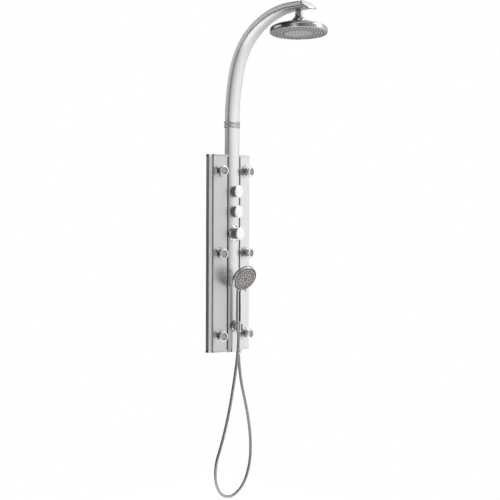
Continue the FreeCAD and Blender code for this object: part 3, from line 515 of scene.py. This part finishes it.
def turned_rings(outline, steps, flutes=0, flute_depth=0.0):
    """Rings about Z from (radius, height) pairs in millimetres; a third number in a pair
    is the share of the flutes' depth cut there."""
    rings = []
    for radius, height, *share in outline:
        depth = flute_depth * share[0] if share else 0.0
        ring = []
        for step in range(steps):
            angle = 2 * math.pi * step / steps
            wave = 0.5 - 0.5 * math.cos(flutes * angle)
            reach = max(radius - depth * wave, 0.001)
            point = (reach * math.cos(angle), reach * math.sin(angle), height)
            ring.append(Vector(point) * MM)
        rings.append(ring)
    return rings


def upright(place, axis):
    """Frame at a place whose Z axis points along the given axis."""
    turn = Z_AXIS.rotation_difference(Vector(axis)).to_matrix().to_4x4()
    return Matrix.Translation(place) @ turn


def turned_piece(name, outline, where, material, body, steps=96, flutes=0, depth=0.0):
    """Round piece turned about the Z axis of the frame it is placed in. An outline that
    starts off that axis makes a ring with an open hole."""
    rings = turned_rings(outline, steps, flutes, depth)
    vertices, faces = surface_of_rings(rings, looped=outline[0][0] > ON_AXIS_R)
    vertices = [where @ vertex for vertex in vertices]
    return new_piece(name, vertices, faces, material, body)


def rings_of_nubs(circles, base_height, nub_height, base_r, tip_r, sides=8):
    """Small tapered nozzles in circles of (radius, count), in millimetres."""
    vertices = []
    faces = []
    for radius, count in circles:
        height = base_height(radius)
        for index in range(count):
            angle = 2 * math.pi * (index + 0.5) / count
            middle = Vector((radius * math.cos(angle), radius * math.sin(angle), height))
            first = len(vertices)
            levels = [(base_r, -0.4), (base_r, 0.0), (tip_r, nub_height), (tip_r * 0.4, nub_height)]
            levels.append((tip_r * 0.35, nub_height - 0.6))
            for size, rise in levels:
                for side in range(sides):
                    turn = 2 * math.pi * side / sides
                    offset = Vector((size * math.cos(turn), size * math.sin(turn), rise))
                    vertices.append((middle + offset) * MM)
            for level in range(len(levels) - 1):
                low = first + level * sides
                for side in range(sides):
                    after = (side + 1) % sides
                    faces.append((low + side, low + after, low + sides + after, low + sides + side))
            faces.append(tuple(range(first, first + sides)))
            top = first + (len(levels) - 1) * sides
            faces.append(tuple(range(top, top + sides)))
    return vertices, faces


def evened_circles(radii, spacing):
    """Circles of nozzles with about the same spacing along each."""
    return [(radius, max(1, round(2 * math.pi * radius / spacing))) for radius in radii]


# ---------------------------------------------------------------- painted shade strips beside the column
# Section of each painted shade strip, x and y in millimetres.
SHADE_STRIP_SECTION = [
    (29.65, -36.8),
    (33.2, -36.8),
    (33.2, -37.4),
    (32.6, -38.0),
    (31.4, -38.4),
    (30.2, -38.3),
    (29.65, -37.9),
]


def make_shade_strips():
    """Dark strip in the joint between each wing and the column, painting the shade in that gap."""
    wing_low, wing_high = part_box("left_wing")
    for side, name in ((-1, "left_seal"), (1, "right_seal")):
        rings = []
        for z in (wing_low.z, wing_high.z):
            rings.append([Vector((side * x * MM, y * MM, z)) for x, y in SHADE_STRIP_SECTION])
        vertices, faces = surface_of_rings(rings)
        new_piece(name, vertices, faces, SEAL_AND_SHADE, "root")


# ---------------------------------------------------------------- knobs
KNOB_FLUTES = 36
KNOB_STEPS = KNOB_FLUTES * 8
KNOB_FLUTE_DEPTH = 1.3         # millimetres, like the bore
KNOB_BORE_R = 5.2


def make_knob(node, body):
    """Fluted grip and polished crowned face in place of the plain knob and its cap."""
    low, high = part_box(node)
    radius = (high.x - low.x) / 2 / MM
    length = (high.y - low.y) / MM
    base = Vector((0, high.y, (low.z + high.z) / 2))
    where = upright(base, FORWARD)
    grip = [
        (KNOB_BORE_R, 0.0),
        (radius - 2.0, 0.0),
        (radius - 1.2, 0.5),
        (radius - 0.9, 1.5, 0.6),
        (radius - 0.4, 2.6, 1.0),
        (radius - 0.1, length * 0.5, 1.0),
        (radius, length - 3.0, 1.0),
        (radius, length - 1.6, 0.5),
        (radius - 0.3, length - 0.5),
        (radius - 0.8, length),
        (KNOB_BORE_R, length),
    ]
    # The grip's dark plating is partly painted dark reflection.
    turned = turned_piece(
        node + "_grip", grip, where, DARK_CHROME_AND_SHADE, body,
        KNOB_STEPS, KNOB_FLUTES, KNOB_FLUTE_DEPTH,
    )
    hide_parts(node)
    cap_low, cap_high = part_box(node + "_cap")
    face_r = (cap_high.x - cap_low.x) / 2 / MM
    height = (cap_high.y - cap_low.y) / MM
    face = [
        (0.01, 0.0),
        (face_r - 1.6, 0.0),
        (face_r - 0.5, 0.3),
        (face_r, 1.1),
        (face_r, 1.9),
        (face_r - 0.3, 2.5),
        (face_r - 1.1, 3.0),
        (face_r * 0.82, height - 0.6),
        (face_r * 0.6, height - 0.3),
        (face_r * 0.3, height - 0.08),
        (0.01, height),
    ]
    cap = turned_piece(
        node + "_face", face, upright(Vector((0, cap_high.y, base.z)), FORWARD),
        POLISHED_FACE, body,
    )
    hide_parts(node + "_cap")


# ---------------------------------------------------------------- body jets
JET_FACE_HEIGHT = 25.4         # millimetres from the ball's centre
JET_NUBS = [(4.2, 6), (8.6, 12)]
JET_NECK_HEIGHT = 14.0
JET_MIDDLE_R = 6.5 * MM
# Section of the polished ring round the face: radius and height in millimetres.
JET_RIM = [
    (13.0, 25.0),
    (13.0, 27.9),
    (13.3, 28.3),
    (16.9, 28.3),
    (17.7, 27.9),
    (18.1, 27.2),
    (18.1, 26.4),
    (17.0, 25.0),
]
FLANGE_WALL = 0.3              # steeper than this to the axis counts as a wall
FLANGE_INNER_R = 16.5
JET_RING_DROP = 6.0            # from the ball's centre back to the black rings' plane
# Sections of the two black rings that paint the shade round a jet's flange: radius and height over
# that plane.
FOOT_SHADE_SECTION = [(23.3, 0.1), (24.5, 0.1), (24.6, 0.7), (24.1, 1.2), (23.3, 1.2)]
STEP_SHADE_SECTION = [(19.4, 2.5), (20.7, 2.5), (20.8, 3.0), (20.3, 3.3), (19.4, 3.3)]


def paint_neck_shade(jet):
    """Painted shade: dark plating on the narrow part of a jet, behind its flared head."""
    place = Vector(joints[jet + "_tilt"]["pos_m"])
    axis = jet_axis(jet)

    def in_shaded_neck(polygon):
        return (polygon.center - place).dot(axis) / MM < JET_NECK_HEIGHT

    paint_where(nodes[jet + "_nozzle"], DARK_CHROME_AND_SHADE, in_shaded_neck)


def paint_flange_shade(jet):
    """Painted shade: dark walls and hollow in a flange, whose flats stay bright."""
    place = Vector(joints[jet + "_tilt"]["pos_m"])
    axis = jet_axis(jet)

    def in_shade(polygon):
        offset = polygon.center - place
        away = (offset - axis * offset.dot(axis)).length / MM
        return abs(polygon.normal.dot(axis)) < FLANGE_WALL or away < FLANGE_INNER_R

    paint_where(nodes[jet + "_socket"], DARK_CHROME_AND_SHADE, in_shade)


def jet_axis(jet):
    """Straight out of the face of a jet."""
    axis = Vector(joints[jet + "_tilt"]["axis"]).cross(Z_AXIS)
    return -axis if axis.y > 0 else axis


def make_jet_shade_rings(jet):
    """Two black rings about a jet's axis, behind its flange, as painted shade at its foot and its
    step.
    """
    axis = jet_axis(jet)
    where = upright(Vector(joints[jet + "_tilt"]["pos_m"]) - axis * JET_RING_DROP * MM, axis)
    sections = {"_gasket": FOOT_SHADE_SECTION, "_ring_step": STEP_SHADE_SECTION}
    for suffix, section in sections.items():
        turned_piece(jet + suffix, section, where, SEAL_AND_SHADE, "root", 72)


def make_jet_face(jet):
    """Grey rubber insert with raised nozzles in the front of a jet."""
    where = upright(joints[jet + "_tilt"]["pos_m"], jet_axis(jet))
    top = JET_FACE_HEIGHT + 0.7
    outline = [
        (0.01, JET_FACE_HEIGHT - 0.6),
        (12.9, JET_FACE_HEIGHT - 0.6),
        (12.9, top - 0.4),
        (12.3, top),
        (11.0, top),
        (10.6, top - 0.3),
        (2.4, top - 0.3),
        (2.0, top + 0.2),
        (0.01, top + 0.4),
    ]
    face = turned_piece(jet + "_face", outline, where, JET_GREY, jet, 64)
    paint_where(face, DISC_GREY, within(where, JET_MIDDLE_R))
    turned_piece(jet + "_rim", JET_RIM, where, POLISHED_FACE, jet, 64)
    vertices, faces = rings_of_nubs(JET_NUBS, lambda radius: top - 0.3, 1.0, 0.95, 0.65)
    vertices = [where @ vertex for vertex in vertices]
    new_piece(jet + "_nozzles", vertices, faces, NOZZLE_GREY, jet)


# ---------------------------------------------------------------- arm's end
ARM_END_SLOPE = 40.0           # degrees from level
ARM_END_WIDE = 32.0 * MM
ARM_END_LONG = 24.0 * MM
# Inset and height of each ring of the plate and of the oval in it, in millimetres, and how
# square the ovals are: 2 is an ellipse.
ARM_PLATE_LEVELS = [(1.0, -2.2), (0.0, -1.6), (0.0, 0.6), (0.6, 1.4), (1.6, 1.8), (3.0, 1.8)]
ARM_PLATE_SQUARENESS = 3.2
ARM_FACE_LEVELS = [
    (2.2, 1.0),
    (2.3, 2.0),
    (3.0, 2.6),
    (5.0, 3.2),
    (9.0, 3.9),
    (14.0, 4.3),
    (20.0, 4.5),
]
ARM_FACE_SQUARENESS = 2.4


def oval_rings(middle, normal, levels, squareness):
    """Rings of an oval over the slanted cut from (inset, height) pairs in millimetres."""
    along = X_AXIS.cross(normal)
    rings = []
    for inset, height in levels:
        half_wide = ARM_END_WIDE - inset * MM
        half_long = ARM_END_LONG - inset * MM
        ring = []
        for step in range(72):
            angle = 2 * math.pi * step / 72
            wide = math.copysign(abs(math.cos(angle)) ** (2 / squareness), math.cos(angle))
            tall = math.copysign(abs(math.sin(angle)) ** (2 / squareness), math.sin(angle))
            offset = X_AXIS * wide * half_wide + along * tall * half_long
            ring.append(middle + offset + normal * (height * MM))
        rings.append(ring)
    return rings


def make_arm_end():
    """Rounded plate that closes the arm, with a polished crowned oval in it."""
    low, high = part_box("arm_end_cap")
    middle = (low + high) / 2
    slope = math.radians(ARM_END_SLOPE)
    normal = Vector((0, -math.sin(slope), math.cos(slope)))
    rings = oval_rings(middle, normal, ARM_PLATE_LEVELS, ARM_PLATE_SQUARENESS)
    vertices, faces = surface_of_rings(rings)
    plate = new_piece("arm_end_plate", vertices, faces, DARK_CHROME_AND_SHADE, "root")
    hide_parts("arm_end_cap")
    rings = oval_rings(middle, normal, ARM_FACE_LEVELS, ARM_FACE_SQUARENESS)
    vertices, faces = surface_of_rings(rings)
    new_piece("arm_end_face", vertices, faces, POLISHED_FACE, "root")


# ---------------------------------------------------------------- rain head
HEAD_BALL = joints["head_tilt"]["pos_m"]
HEAD_TILT_AXIS = joints["head_tilt"]["axis"]
HEAD_REST_TILT = 5.0
DISC_R = 44.5 * MM             # the lighter disc in the middle of the face
PLATE_DROP = 70.0              # the face's rim plane below the ball, in millimetres


def head_frame():
    turn = Matrix.Rotation(math.radians(HEAD_REST_TILT), 4, Vector(HEAD_TILT_AXIS))
    return Matrix.Translation(HEAD_BALL) @ turn


def plate_height(radius):
    """Height of the gently crowned spray face below the ball."""
    return -PLATE_DROP - 1.0 + 4.4 * (radius / 96.0) ** 2


def make_rain_face():
    """Spray plate with concentric steps, a raised inner ring and rubber nozzles."""
    outline = [(0.01, plate_height(0))]
    for radius in (12, 24, 36, 43):
        outline.append((radius, plate_height(radius)))
    ring = plate_height(46)
    outline += [(44.0, ring - 0.2), (44.8, ring - 1.5), (47.2, ring - 1.5), (48.0, ring - 0.2)]
    for radius in (49, 56, 63, 70, 77, 84, 89):
        outline.append((radius, plate_height(radius)))
    rim = plate_height(92)
    outline += [(90.0, rim - 1.2), (93.0, rim - 1.2), (94.0, rim), (95.8, rim + 0.4)]
    outline += [(95.8, -PLATE_DROP + 5.4), (0.01, -PLATE_DROP + 5.4)]
    plate = turned_piece(
        "rain_face", outline, head_frame(), SPRAY_GREY, "rain_head", 128
    )
    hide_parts("head_spray_plate")
    paint_where(plate, DISC_GREY, within(head_frame(), DISC_R))
    flip = Matrix.Rotation(math.pi, 4, "X")
    sizes = {
        "rain_nozzles_outer": (evened_circles([55, 65.5, 76, 86.5], 15.0), 2.3),
        "rain_nozzles_inner": (evened_circles([12, 24, 36], 13.0), 1.1),
    }
    for name, (circles, size) in sizes.items():
        vertices, faces = rings_of_nubs(circles, lambda r: -plate_height(r), 1.6, size, size - 0.6)
        vertices = [head_frame() @ flip @ vertex for vertex in vertices]
        new_piece(name, vertices, faces, NOZZLE_GREY, "rain_head")


# ---------------------------------------------------------------- handset
TAB_TURN = 20.0
# Painted dark reflections: dark stripes on the handle where its faces point along these headings.
DARK_REFLECTION_HEADINGS = [(-42.0, -8.0), (-118.0, -96.0)]  # degrees from straight out
DARK_REFLECTION_TOP = -0.118             # the stripes end at this height
# Reach from the face's middle, half width, base and top of each section of the tab.
TAB_SECTIONS = [
    (38.0, 3.2, 0.6, 1.8),
    (42.0, 3.2, 0.6, 3.0),
    (50.0, 3.1, 0.6, 3.8),
    (55.0, 3.0, 0.7, 4.4),
    (56.6, 2.2, 1.4, 3.8),
]
HANDLE_AXIS = Vector((0, -66, 0))
HANDLE_TURN = -9.0
HANDLE_POINTS = [
    (0, -66, -249.7, 10.4),
    (0, -66, -248.0, 11.0),
    (0, -66, -240.0, 11.4),
    (0, -66, -220.0, 11.5),
    (0, -66, -190.0, 11.2),
    (0, -66, -165.0, 10.6),
    (0, -66, -150.0, 10.3),
    (0, -66.6, -140.0, 10.3),
    (0, -69.0, -130.0, 10.6),
    (0, -73.0, -120.0, 11.2),
    (0, -79.0, -110.0, 12.0),
]


def handset_frame():
    """At the middle of the spray face, with Z straight out of the face."""
    joint = joints["spray_select"]
    return upright(joint["pos_m"], joint["axis"])


def swung(point):
    turn = Matrix.Rotation(math.radians(HANDLE_TURN), 3, "Z")
    return (turn @ (Vector(point) - HANDLE_AXIS) + HANDLE_AXIS) * MM


def between(values, share):
    """Smooth value a share of the way through four neighbours' middle pair."""
    a, b, c, d = values
    return 0.5 * (
        2 * b
        + (c - a) * share
        + (2 * a - 5 * b + 4 * c - d) * share**2
        + (3 * b - a - 3 * c + d) * share**3
    )


def smooth_path(points, steps):
    """Points with more in between, on a curve through all of them."""
    padded = [points[0]] + points + [points[-1]]
    path = []
    for index in range(len(points) - 1):
        group = padded[index : index + 4]
        for step in range(steps):
            path.append([between(values, step / steps) for values in zip(*group)])
    path.append(list(points[-1]))
    return path


def make_handle():
    """Round handle whose neck bends forward into the back of the dish."""
    rings = []
    path = smooth_path(HANDLE_POINTS, 5)
    for index, (x, y, z, radius) in enumerate(path):
        before = Vector(path[max(index - 1, 0)][:3])
        after = Vector(path[min(index + 1, len(path) - 1)][:3])
        ahead = (after - before).normalized()
        outward = X_AXIS.cross(ahead)
        ring = []
        for step in range(48):
            angle = 2 * math.pi * step / 48
            offset = X_AXIS * math.cos(angle) + outward * math.sin(angle)
            ring.append(swung(Vector((x, y, z)) + offset * radius))
        rings.append(ring)
    vertices, faces = surface_of_rings(rings)
    handle = new_piece("handset_handle", vertices, faces, BRIGHT_CHROME, "handset")
    # Painted dark reflections on the chrome handle, picked by which way each face points.
    paint_where(handle, DARK_REFLECTION_PAINT, in_dark_reflection)


def in_dark_reflection(polygon):
    """Whether a face of the handle lies in one of its narrow dark stripes of painted reflection."""
    heading = math.degrees(math.atan2(polygon.normal.x, -polygon.normal.y))
    in_stripe = any(start < heading < end for start, end in DARK_REFLECTION_HEADINGS)
    return in_stripe and polygon.center.z < DARK_REFLECTION_TOP


def handset_ring(name, outline, material, body):
    return turned_piece(name, outline, handset_frame(), material, body, 128)


def make_handset():
    """Dish in layers: satin back with a rolled band, a bright rim and a dark inner ring."""
    back = [
        (0.01, -29.8),
        (8.0, -29.6),
        (16.0, -29.0),
        (24.0, -27.4),
        (32.0, -24.6),
        (38.0, -21.6),
        (43.5, -18.4),
        (47.2, -15.9),
        (49.2, -13.9),
        (49.9, -12.0),
        (50.0, -9.5),
        (49.8, -7.6),
        (49.0, -6.4),
        (47.8, -6.0),
        (0.01, -6.9),
    ]
    rim = [
        (40.5, -6.8),
        (48.2, -6.2),
        (48.9, -4.6),
        (48.9, -3.0),
        (48.4, -1.4),
        (47.6, -0.5),
        (46.8, -0.2),
        (46.5, -0.6),
        (46.4, -2.0),
        (40.5, -2.0),
    ]
    groove = [(41.5, -6.6), (46.3, -6.0), (46.3, -1.4), (45.2, -1.0), (42.6, -1.0), (41.5, -1.4)]
    shell = handset_ring("handset_back", back, SATIN_CHROME, "handset")
    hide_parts("handset_body")
    handset_ring("handset_rim", rim, POLISHED_FACE, "handset")
    handset_ring("handset_groove", groove, SEAL_AND_SHADE, "handset")
    make_handle()


def make_handset_face():
    """Turning face: outer ring, circles of nozzles, raised inner dial and its tab."""
    outline = [
        (0.01, -6.3),
        (41.7, -6.3),
        (41.9, -0.6),
        (41.8, 0.5),
        (41.2, 0.9),
        (39.2, 0.9),
        (38.0, 0.2),
        (25.0, 0.5),
        (24.2, 1.5),
        (22.6, 1.7),
        (21.8, 0.8),
        (11.0, 1.0),
        (10.2, 2.0),
        (8.8, 2.2),
        (7.8, 1.4),
        (0.01, 1.6),
    ]
    face = handset_ring(
        "handset_spray_face", outline, SPRAY_GREY, "handset_selector"
    )
    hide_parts("handset_face")
    sizes = {
        "handset_nozzles_outer": (evened_circles([35.2, 28.2], 10.0), 2.7),
        "handset_nozzles_inner": (evened_circles([16.6], 12.5) + [(4.8, 4)], 3.1),
    }
    for name, (circles, size) in sizes.items():
        vertices, faces = rings_of_nubs(circles, nozzle_base, 1.4, size, size - 0.5)
        vertices = [handset_frame() @ vertex for vertex in vertices]
        new_piece(name, vertices, faces, NOZZLE_GREY, "handset_selector")
    make_selector_tab()


def nozzle_base(radius):
    return 0.3 if radius > 25 else 0.9


def make_selector_tab():
    """Small rounded lever at the lower rim of the face, which turns with it."""
    low = Vector(handset_frame().inverted().to_3x3() @ -Z_AXIS)
    outward = Vector((low.x, low.y, 0)).normalized()
    turn = Matrix.Rotation(math.radians(TAB_TURN), 3, "Z")
    outward = turn @ outward
    sideways = Vector((-outward.y, outward.x, 0))
    rings = []
    for reach, half, base, top in TAB_SECTIONS:
        middle = outward * reach
        ring = []
        for step in range(16):
            angle = 2 * math.pi * step / 16
            wide = math.copysign(abs(math.cos(angle)) ** 0.6, math.cos(angle)) * half
            tall = math.copysign(abs(math.sin(angle)) ** 0.6, math.sin(angle))
            height = (base + top) / 2 + tall * (top - base) / 2
            ring.append(handset_frame() @ ((middle + sideways * wide + Z_AXIS * height) * MM))
        rings.append(ring)
    vertices, faces = surface_of_rings(rings)
    new_piece("handset_tab", vertices, faces, DARK_CHROME_AND_SHADE, "handset_selector")


# ---------------------------------------------------------------- hose
def route_points():
    """Points along the hose's smooth centre line, from its outlet to the handset."""
    curve = bpy.data.curves.new("hose_route", "CURVE")
    curve.dimensions = "3D"
    curve.resolution_u = 40
    spline = curve.splines.new("NURBS")
    spline.points.add(len(HOSE_ROUTE_MM) - 1)
    for point, place in zip(spline.points, HOSE_ROUTE_MM):
        point.co = (*[value * MM for value in place], 1.0)
    spline.order_u = 3
    spline.use_endpoint_u = True
    holder = bpy.data.objects.new("hose_route", curve)
    bpy.context.collection.objects.link(holder)
    bpy.context.view_layer.update()
    line = bpy.data.meshes.new_from_object(holder)
    points = [vertex.co.copy() for vertex in line.vertices]
    bpy.data.objects.remove(holder)
    bpy.data.meshes.remove(line)
    bpy.data.curves.remove(curve)
    return points


def evenly(points, step):
    """The same line with points a fixed step apart."""
    spaced = [points[0]]
    travelled = 0.0
    due = step
    for start, end in zip(points, points[1:]):
        run = (end - start).length
        while travelled + run >= due:
            spaced.append(start.lerp(end, (due - travelled) / run))
            due += step
        travelled += run
    if (spaced[-1] - points[-1]).length < step / 2:
        spaced.pop()
    spaced.append(points[-1])
    return spaced


def wound_tube(name, points, radius, body):
    """Tube with the spiral ridge of a wound steel strip, closed at both ends."""
    side = (points[1] - points[0]).orthogonal().normalized()
    vertices = []
    faces = []
    travelled = 0.0
    for index, point in enumerate(points):
        before = points[max(index - 1, 0)]
        after = points[min(index + 1, len(points) - 1)]
        ahead = (after - before).normalized()
        side = (side - ahead * side.dot(ahead)).normalized()
        other = ahead.cross(side)
        if index:
            travelled += (point - points[index - 1]).length
        for corner in range(HOSE_SIDES):
            share = corner / HOSE_SIDES
            wave = 0.5 - 0.5 * math.cos(2 * math.pi * (travelled / HOSE_PITCH + share))
            reach = radius - HOSE_RIDGE * wave**2
            turn = 2 * math.pi * share
            vertices.append(point + (side * math.cos(turn) + other * math.sin(turn)) * reach)
        if index:
            low = (index - 1) * HOSE_SIDES
            for corner in range(HOSE_SIDES):
                after_corner = (corner + 1) % HOSE_SIDES
                faces.append(
                    (
                        low + corner,
                        low + after_corner,
                        low + HOSE_SIDES + after_corner,
                        low + HOSE_SIDES + corner,
                    )
                )
    last = (len(points) - 1) * HOSE_SIDES
    faces.append(tuple(range(HOSE_SIDES)))
    faces.append(tuple(range(last, last + HOSE_SIDES)))
    return new_piece(name, vertices, faces, HOSE_STEEL, body)


def make_hose_top():
    """Last length of hose under the cone nut, which draws out as the handset is lifted."""
    route = evenly(route_points(), HOSE_PITCH / RINGS_PER_TURN)
    last = [point for point in route if point.z > HOSE_TOP_FOOT and point.y < HOSE_TOP_FRONT]
    top = wound_tube("hose_top", last, HOSE_DIAMETER / 2 + HOSE_TOP_EXTRA, None)
    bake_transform(top)


def make_hose():
    centre = evenly(route_points(), HOSE_PITCH / RINGS_PER_TURN)
    hose = wound_tube("hose", centre, HOSE_DIAMETER / 2, None)
    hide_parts("shower_hose")
    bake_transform(hose)


bpy.context.scene.view_settings.view_transform = "Standard"
make_camera()
make_world()
make_floor()
for light_name, place, aim, size, watts in LIGHTS:
    area_light(light_name, place, aim, size, watts)
paint_cad_nodes()
make_hose()
make_hose_top()
make_shade_strips()
make_knob("rain_knob", "rain_control")
make_knob("jet_knob", "jet_control")
make_knob("mixer_knob", "mixer_control")
for body_name in frame["bodies"]:
    if body_name.endswith("_jet"):
        make_jet_face(body_name)
        paint_neck_shade(body_name)
        paint_flange_shade(body_name)
        make_jet_shade_rings(body_name)
make_arm_end()
make_rain_face()
make_handset()
make_handset_face()
